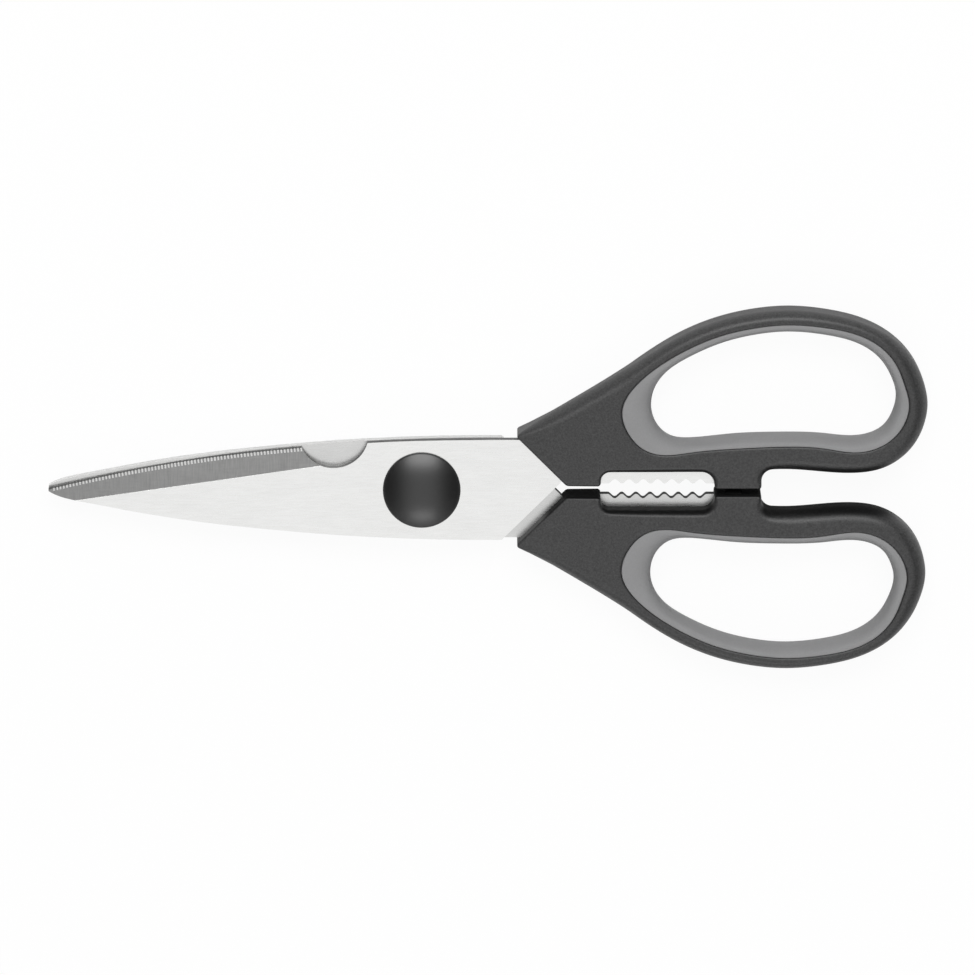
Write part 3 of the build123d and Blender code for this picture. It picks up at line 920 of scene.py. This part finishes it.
def facing_out(faces, points, normals):
    """The same faces, each turned so that it looks the way its points' normals do."""
    faces = np.array(faces)
    corner = points[faces]
    look = np.cross(corner[:, 1] - corner[:, 0], corner[:, -1] - corner[:, 0])
    against = np.einsum("ij,ij->i", look, normals[faces].mean(axis=1)) < 0
    faces[against] = faces[against][:, ::-1]
    return faces


def inside(ring, points):
    """Which points lie inside a ring: a ray along +u crosses it an odd number of times."""
    low, high = ring, np.roll(ring, -1, axis=0)
    v = points[:, 1][:, None]
    spans = (low[:, 1] > v) != (high[:, 1] > v)
    rise = np.where(high[:, 1] == low[:, 1], 1, high[:, 1] - low[:, 1])
    crossing = low[:, 0] + (v - low[:, 1]) / rise * (high[:, 0] - low[:, 0])
    return (spans & (crossing > points[:, 0][:, None])).sum(axis=1) % 2 == 1


def face_lattice(outer, inner, spacing=1.6):
    """Points on a square lattice that lie between two rings and clear of both."""
    u = np.arange(neck_corner[0], loop_reach, spacing)
    v = np.arange(0, loop_half_width, spacing)
    points = np.stack(np.meshgrid(u, v), axis=-1).reshape(-1, 2)
    between = inside(outer, points) & ~inside(inner, points)
    rings = np.vstack([outer, inner])
    gap = np.linalg.norm(points[:, None] - rings[None], axis=2).min(axis=1)
    return points[between & (gap > spacing * 0.5)]


def face_triangles(outer, inner, lattice):
    """Triangles that fill a face: outer ring's points come first, then the inner's, the lattice's."""
    points = np.vstack([outer, inner, lattice])
    outer_index = np.arange(len(outer))
    inner_index = np.arange(len(inner)) + len(outer)
    edges = np.vstack(
        [
            np.stack([outer_index, np.roll(outer_index, -1)], axis=1),
            np.stack([inner_index, np.roll(inner_index, -1)], axis=1),
        ]
    )
    flat_points = [Vector(point) for point in points.tolist()]
    filled = delaunay_2d_cdt(flat_points, edges.tolist(), [], 0, 1e-7)
    source = np.array([origin[0] for origin in filled[3]])
    triangles = source[np.array(filled[2])]
    middle = points[triangles].mean(axis=1)
    return triangles[inside(outer, middle) & ~inside(inner, middle)]


# %% Handle surface
def handle_surface():
    """Points, normals and faces of one moulding in its half plane: rolled outside, seat, flats."""
    outer, outer_normals = rolled_edge(
        handle_ring, outward_normals(handle_ring), shoulder_width, shoulder_drop
    )
    seat, seat_normals = rolled_edge(
        liner_ring, -outward_normals(liner_ring), seat_gap, seat_dip, steps=6
    )
    lattice = face_lattice(outer[:, 0, :2], seat[:, 0, :2])
    inner_face = np.column_stack([lattice, face_level(lattice[:, 0])])
    inner_normals = face_normals(lattice[:, 0])
    under = np.array([1, 1, -1])
    points = [outer.reshape(-1, 3), seat.reshape(-1, 3), inner_face, inner_face * under]
    normals = [outer_normals.reshape(-1, 3), seat_normals.reshape(-1, 3)]
    normals += [inner_normals, inner_normals * under]
    points = np.concatenate(points)
    normals = np.concatenate(normals)
    offset = outer.shape[0] * outer.shape[1]
    lattice_offset = offset + seat.shape[0] * seat.shape[1]
    quads = np.concatenate(
        [
            grid_faces(outer.shape[0], outer.shape[1], wrap_rows=True),
            grid_faces(seat.shape[0], seat.shape[1], wrap_rows=True) + offset,
        ]
    )
    triangles = face_triangles(outer[:, 0, :2], seat[:, 0, :2], lattice)
    top_index = np.concatenate(
        [
            np.arange(outer.shape[0]) * outer.shape[1],
            np.arange(seat.shape[0]) * seat.shape[1] + offset,
            np.arange(len(lattice)) + lattice_offset,
        ]
    )
    bottom_index = np.concatenate(
        [
            np.arange(outer.shape[0]) * outer.shape[1] + outer.shape[1] - 1,
            np.arange(seat.shape[0]) * seat.shape[1] + seat.shape[1] - 1 + offset,
            np.arange(len(lattice)) + lattice_offset + len(lattice),
        ]
    )
    flats = np.concatenate([top_index[triangles], bottom_index[triangles]])
    faces = facing_out(quads, points, normals).tolist()
    faces += facing_out(flats, points, normals).tolist()
    return points, normals, faces


# %% [markdown]
# ## The stop pads
# Where the two handles meet behind the jaws, each carries a small crowned pad, and the closed pads
# all but touch. A pad is a rounded square that swells in the middle: rings of one outline shrink
# towards the centre while they rise.

# %% Stop pad surface
stop_share = 0.41  # from the jaw's recess to the slot
stop_gap = 0.3  # between the two closed pads
pad_middle = recess_end + stop_share * (bumper_end - recess_end)
pad_half_length = 2.2
pad_half_width = 3.5
pad_rise = bumper_height - stop_gap / 2
pad_root = 0.6  # how far it reaches into the handle
pad_core = 1.5  # depth of the point that its normals lean away from


def pad_surface():
    """Rings |u|^4 + |w|^4 = 1 times a share; the pad rises by (1 - share^6)^(1/2) of its height."""
    angle = np.linspace(0, 2 * math.pi, 48, endpoint=False)
    reach = (np.cos(angle) ** 4 + np.sin(angle) ** 4) ** -0.25
    share = np.concatenate([[1.0], np.sin(np.linspace(math.pi / 2, 0.06, 12))])
    rise = pad_rise * np.sqrt(1 - share**6)
    rise[0] = -pad_root
    u = pad_middle + pad_half_length * np.outer(share, reach * np.cos(angle))
    w = pad_half_width * np.outer(share, reach * np.sin(angle))
    v = bumper_height - np.outer(rise, np.ones_like(angle))
    points = np.stack([u, v, w], axis=-1).reshape(-1, 3)
    centre = np.array([pad_middle, bumper_height + pad_core, 0])
    outwards = (points - centre) / np.array([pad_half_length, pad_core, pad_half_width])
    normals = outwards / np.linalg.norm(outwards, axis=1, keepdims=True)
    faces = facing_out(grid_faces(len(share), len(angle), wrap_columns=True), points, normals)
    last = (len(share) - 1) * len(angle)
    ends = [list(range(len(angle)))[::-1], list(range(last, last + len(angle)))]
    return points, normals, faces.tolist() + ends


# %% Handles
def dressed_piece(name, surface, material, half, body, node):
    """A piece from a surface in the half plane, kept in its node's box, riding on its body."""
    points, normals, faces = surface
    points = to_frame(points, half)
    low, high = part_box(node)
    points = np.clip(points, np.array(low), np.array(high))
    piece = mesh_object(name, points, faces, material, turned(normals, half))
    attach(piece, body)
    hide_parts(node)


def joined(first, second):
    """Two closed surfaces as one list of points, normals and faces."""
    shift = len(first[0])
    moved = [[corner + shift for corner in face] for face in second[2]]
    return np.vstack([first[0], second[0]]), np.vstack([first[1], second[1]]), first[2] + moved


moulding = joined(handle_surface(), pad_surface())
dressed_piece(
    "upper_handle_moulding", moulding, black_plastic, 1, "front_half", "upper_handle"
)
dressed_piece(
    "lower_handle_moulding", moulding, black_plastic, -1, "rear_half", "lower_handle"
)

# %% [markdown]
# ## The soft liners
# A liner is moulded into the loop after the handle. On the real one no step shows between its face
# and the finger hole: the soft plastic rolls over in one sweep, broad at the front of the loop and
# narrow along its sides. Its section is a superellipse between the seat and the hole, with a small
# radius at the seat that leaves a fine dark seam.

# %% Liner surface
def ring_at(ring, centre, angles):
    """The points of a ring in the given directions from a centre."""
    reach = ring - centre
    found = np.unwrap(np.arctan2(reach[:, 1], reach[:, 0]))
    order = np.argsort(found)
    turn = 2 * math.pi
    columns = [np.interp(angles, found[order], ring[order, axis], period=turn) for axis in (0, 1)]
    return np.stack(columns, axis=1)


def liner_surface(sections=260, seam=0.06, edge_radius=0.35, power=2.8):
    """Sections from the seat to the hole: small radius, then (x/a)^p + (z/b)^p = 1, mirrored."""
    centre = np.array([(hole_box[0] + hole_box[1]) / 2, (hole_box[2] + hole_box[3]) / 2])
    angles = np.linspace(0, 2 * math.pi, sections, endpoint=False)
    seat_ring = liner_ring - outward_normals(liner_ring) * seam
    fine_seat = ring_at(seat_ring, centre, angles)
    fine_hole = ring_at(hole_ring, centre, angles)
    across = fine_hole - fine_seat
    width = np.linalg.norm(across, axis=1, keepdims=True)
    edge = np.linspace(0, math.pi / 2, 5)
    sweep = np.linspace(0, math.pi / 2, 18)[1:]
    edge_in = np.broadcast_to(edge_radius * (1 - np.cos(edge)), (sections, len(edge)))
    sweep_in = edge_radius + (width - edge_radius) * np.sin(sweep) ** (2 / power)
    edge_level = half_thickness - edge_radius * (1 - np.sin(edge))
    sweep_level = half_thickness * np.cos(sweep).clip(0) ** (2 / power)
    inwards = np.concatenate([edge_in, sweep_in], axis=1)
    level = np.broadcast_to(np.concatenate([edge_level, sweep_level]), inwards.shape)
    flat = fine_seat[:, None] + (across / width)[:, None] * inwards[..., None]
    top = np.concatenate([flat, level[..., None]], axis=-1)
    lower = top[:, :-1][:, ::-1] * np.array([1, 1, -1])
    points = np.concatenate([top, lower], axis=1)
    along_ring = np.roll(points, -1, axis=0) - np.roll(points, 1, axis=0)
    along_section = np.roll(points, -1, axis=1) - np.roll(points, 1, axis=1)
    normals = np.cross(along_ring, along_section)
    normals /= np.linalg.norm(normals, axis=-1, keepdims=True)
    core = fine_seat + across * 0.45  # runs inside the section, so it tells in from out
    away = points[..., :2] - core[:, None]
    signs = np.sign((away * normals[..., :2]).sum(axis=-1) + points[..., 2] * normals[..., 2])
    normals *= np.median(signs)
    flat_points = points.reshape(-1, 3)
    flat_normals = normals.reshape(-1, 3)
    quads = grid_faces(points.shape[0], points.shape[1], wrap_rows=True, wrap_columns=True)
    return flat_points, flat_normals, facing_out(quads, flat_points, flat_normals).tolist()


# %% Liners
soft_ring = liner_surface()
dressed_piece(
    "upper_soft_liner", soft_ring, soft_plastic, 1, "front_half", "upper_liner"
)
dressed_piece(
    "lower_soft_liner", soft_ring, soft_plastic, -1, "rear_half", "lower_liner"
)

# %% [markdown]
# ## The pivot caps
# Each cap is a low black dome that snaps over the screw's head or the nut. Its edge rounds off into
# a short upright rim, which catches a thin line of light. A dome is a profile turned about the pivot:
# out over the crown, round the edge, under the rim and back along the hollow.

# %% Cap surface
cap_radius = 9.5
cap_wall = 0.7
cap_rim_height = 0.45
cap_edge = 0.45  # the crown bends down to the rim over this width
cap_foot = 0.12  # radius under the rim
pole_radius = 0.02  # the ring that closes the top


def bend(first, corner, last, steps=7):
    """A curve that leaves first towards corner and arrives at last from it."""
    share = np.linspace(0, 1, steps)[:, None]
    first, corner, last = np.array(first), np.array(corner), np.array(last)
    return first * (1 - share) ** 2 + 2 * corner * share * (1 - share) + last * share**2


def cap_surface(base, height):
    """A shell turned about the pivot: height(r) = centre + (R^2 - r^2)^(1/2) for both its faces."""
    crown = height - cap_rim_height
    dome_radius = (cap_radius**2 + crown**2) / (2 * crown)
    centre = height - dome_radius
    outer_r = np.linspace(pole_radius, cap_radius - cap_edge, 30)
    outer = np.stack([outer_r, centre + np.sqrt(dome_radius**2 - outer_r**2)], axis=1)
    slope = outer_r[-1] / math.sqrt(dome_radius**2 - outer_r[-1] ** 2)
    shoulder = (cap_radius, outer[-1, 1] - cap_edge * slope)
    edge = bend(outer[-1], shoulder, (cap_radius, cap_foot))
    foot = bend((cap_radius, cap_foot), (cap_radius, 0.0), (cap_radius - cap_foot, 0.0), 4)
    inner_r = np.linspace(cap_radius - cap_wall, pole_radius, 16)
    inner_radius = dome_radius - cap_wall
    inner = np.stack([inner_r, centre + np.sqrt(inner_radius**2 - inner_r**2)], axis=1)
    inner[:, 1] = inner[:, 1].clip(0)
    profile = np.vstack([outer, edge[1:], foot[1:], inner])
    along = np.gradient(profile, axis=0)
    lean = np.stack([-along[:, 1], along[:, 0]], axis=1)
    lean = lean / np.linalg.norm(lean, axis=1, keepdims=True)
    around = np.linspace(0, 2 * math.pi, 112, endpoint=False)
    ones = np.ones_like(around)

    def spun(pairs, middle):
        """Radius and height pairs turned about the pivot."""
        x = np.outer(pairs[:, 0], np.cos(around))
        y = np.outer(pairs[:, 0], np.sin(around))
        return np.stack([x, y, np.outer(pairs[:, 1] + middle, ones)], axis=-1).reshape(-1, 3)

    points = spun(profile, base)
    normals = spun(lean, 0)
    faces = facing_out(grid_faces(len(profile), len(around), wrap_columns=True), points, normals)
    last = (len(profile) - 1) * len(around)
    ends = [list(range(len(around))), list(range(last, last + len(around)))[::-1]]
    return points, normals, faces.tolist() + ends


# %% Caps
front_base = blade_outer
rear_base = blade_outer + 0.1
dressed_piece(
    "front_dome_cap",
    cap_surface(front_base, half_thickness - front_base),
    cap_plastic,
    1,
    "front_half",
    "front_pivot_cap",
)
dressed_piece(
    "rear_dome_cap",
    cap_surface(rear_base, half_thickness - rear_base),
    cap_plastic,
    -1,
    "front_half",
    "rear_pivot_cap",
)
